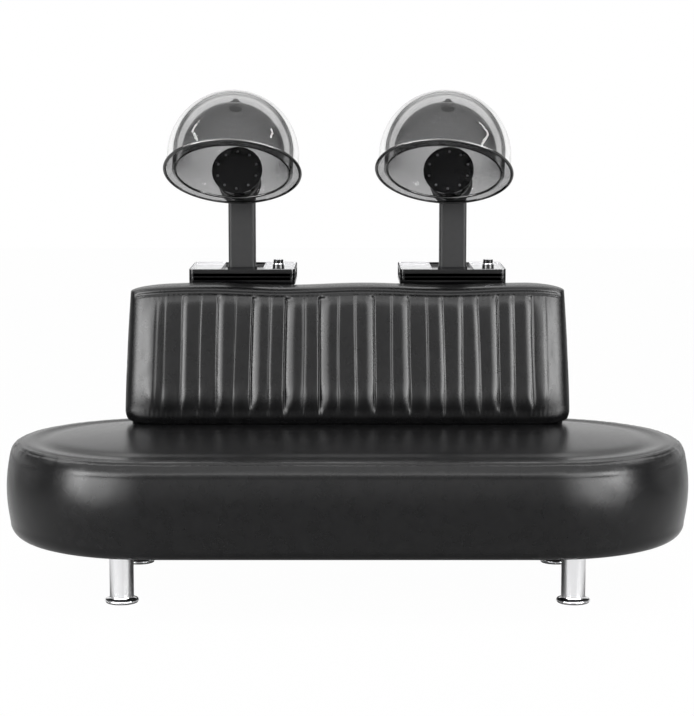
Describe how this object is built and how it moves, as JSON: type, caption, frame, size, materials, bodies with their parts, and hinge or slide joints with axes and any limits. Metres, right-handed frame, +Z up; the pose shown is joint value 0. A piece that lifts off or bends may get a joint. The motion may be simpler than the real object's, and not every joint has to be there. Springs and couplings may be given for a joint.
{
  "type": "two-seat hooded dryer bench",
  "caption": "Long round-ended leather bench with a channelled backrest and two tilting hood hair dryers on posts above box-shaped control units.",
  "frame": {"origin": "on the floor, under the middle of the whole object's box: midway along the bench, and midway between the seat's front and the back of the dryers' control boxes", "axes": "+Z up, the sitters face -Y, +X to the right of a viewer who stands in front"},
  "size_m": [1.8, 0.9826, 1.302],
  "materials": {
    "black_leather": "satin",
    "foam": "matte",
    "plywood": "matte",
    "black_board": "matte",
    "chrome": "polished",
    "black_steel": "satin",
    "grey_steel": "satin",
    "gloss_black": "gloss",
    "matte_black": "matte",
    "light_panel": "satin",
    "nylon": "matte",
    "zinc": "satin",
    "motor_steel": "satin",
    "heater_wire": "satin",
    "clear_smoke": "gloss",
    "dark_smoke": "gloss",
    "rim_smoke": "gloss",
    "rubber_black": "matte"
  },
  "bodies": {
    "bench": {"seat_cover": "black_leather", "seat_foam": "foam", "seat_frame": "plywood", "bottom_board": "black_board", "front_left_leg": "chrome", "front_right_leg": "chrome", "rear_left_leg": "chrome", "rear_right_leg": "chrome", "leg_glides": "rubber_black", "back_cushion": "black_leather", "back_panel": "black_leather", "left_upright": "black_steel", "right_upright": "black_steel", "frame_screws": "zinc", "left_bracket": "black_steel", "left_box_base": "gloss_black", "left_box_cover": "gloss_black", "left_box_panels": "light_panel", "left_power_inlet": "matte_black", "left_timer_switch": "matte_black", "left_post_collar": "matte_black", "left_post": "grey_steel", "left_post_bush": "nylon", "right_bracket": "black_steel", "right_box_base": "gloss_black", "right_box_cover": "gloss_black", "right_box_panels": "light_panel", "right_power_inlet": "matte_black", "right_timer_switch": "matte_black", "right_post_collar": "matte_black", "right_post": "grey_steel", "right_post_bush": "nylon"},
    "left_neck": {"left_neck": "grey_steel", "left_tilt_pin": "zinc"},
    "left_hood": {"left_blower_housing": "matte_black", "left_motor": "motor_steel", "left_heater": "heater_wire", "left_blower_disc": "gloss_black", "left_disc_screws": "zinc", "left_inner_hood": "dark_smoke", "left_outer_hood": "clear_smoke", "left_rim_ring": "rim_smoke", "left_rim_edging": "rubber_black", "left_crown_cap": "matte_black"},
    "left_fan": {"left_fan": "nylon"},
    "left_timer_knob": {"left_timer_knob": "gloss_black"},
    "right_neck": {"right_neck": "grey_steel", "right_tilt_pin": "zinc"},
    "right_hood": {"right_blower_housing": "matte_black", "right_motor": "motor_steel", "right_heater": "heater_wire", "right_blower_disc": "gloss_black", "right_disc_screws": "zinc", "right_inner_hood": "dark_smoke", "right_outer_hood": "clear_smoke", "right_rim_ring": "rim_smoke", "right_rim_edging": "rubber_black", "right_crown_cap": "matte_black"},
    "right_fan": {"right_fan": "nylon"},
    "right_timer_knob": {"right_timer_knob": "gloss_black"}
  },
  "joints": [
    {"name": "left_hood_turn", "type": "hinge", "parent": "bench", "child": "left_neck", "pos_m": [-0.293, 0.26475, 1.03], "axis": [0, 0, 1], "range_deg": [-30, 30]},
    {"name": "left_hood_tilt", "type": "hinge", "parent": "left_neck", "child": "left_hood", "pos_m": [-0.29385, 0.24677, 1.03], "axis": [0.9989, -0.0471, 0], "range_deg": [-30, 25]},
    {"name": "left_fan_spin", "type": "hinge", "parent": "left_hood", "child": "left_fan", "pos_m": [-0.29385, 0.24677, 1.03], "axis": [0.0426, 0.9023, -0.4289], "continuous": true},
    {"name": "left_timer_turn", "type": "hinge", "parent": "bench", "child": "left_timer_knob", "pos_m": [-0.193, 0.27975, 0.799], "axis": [0, 0, -1], "range_deg": [0, 300]},
    {"name": "right_hood_turn", "type": "hinge", "parent": "bench", "child": "right_neck", "pos_m": [0.293, 0.26475, 1.03], "axis": [0, 0, 1], "range_deg": [-30, 30]},
    {"name": "right_hood_tilt", "type": "hinge", "parent": "right_neck", "child": "right_hood", "pos_m": [0.29049, 0.24693, 1.03], "axis": [0.9903, -0.1392, 0], "range_deg": [-30, 25]},
    {"name": "right_fan_spin", "type": "hinge", "parent": "right_hood", "child": "right_fan", "pos_m": [0.29049, 0.24693, 1.03], "axis": [0.1257, 0.8945, -0.4289], "continuous": true},
    {"name": "right_timer_turn", "type": "hinge", "parent": "bench", "child": "right_timer_knob", "pos_m": [0.393, 0.27975, 0.799], "axis": [0, 0, -1], "range_deg": [0, 300]}
  ]
}
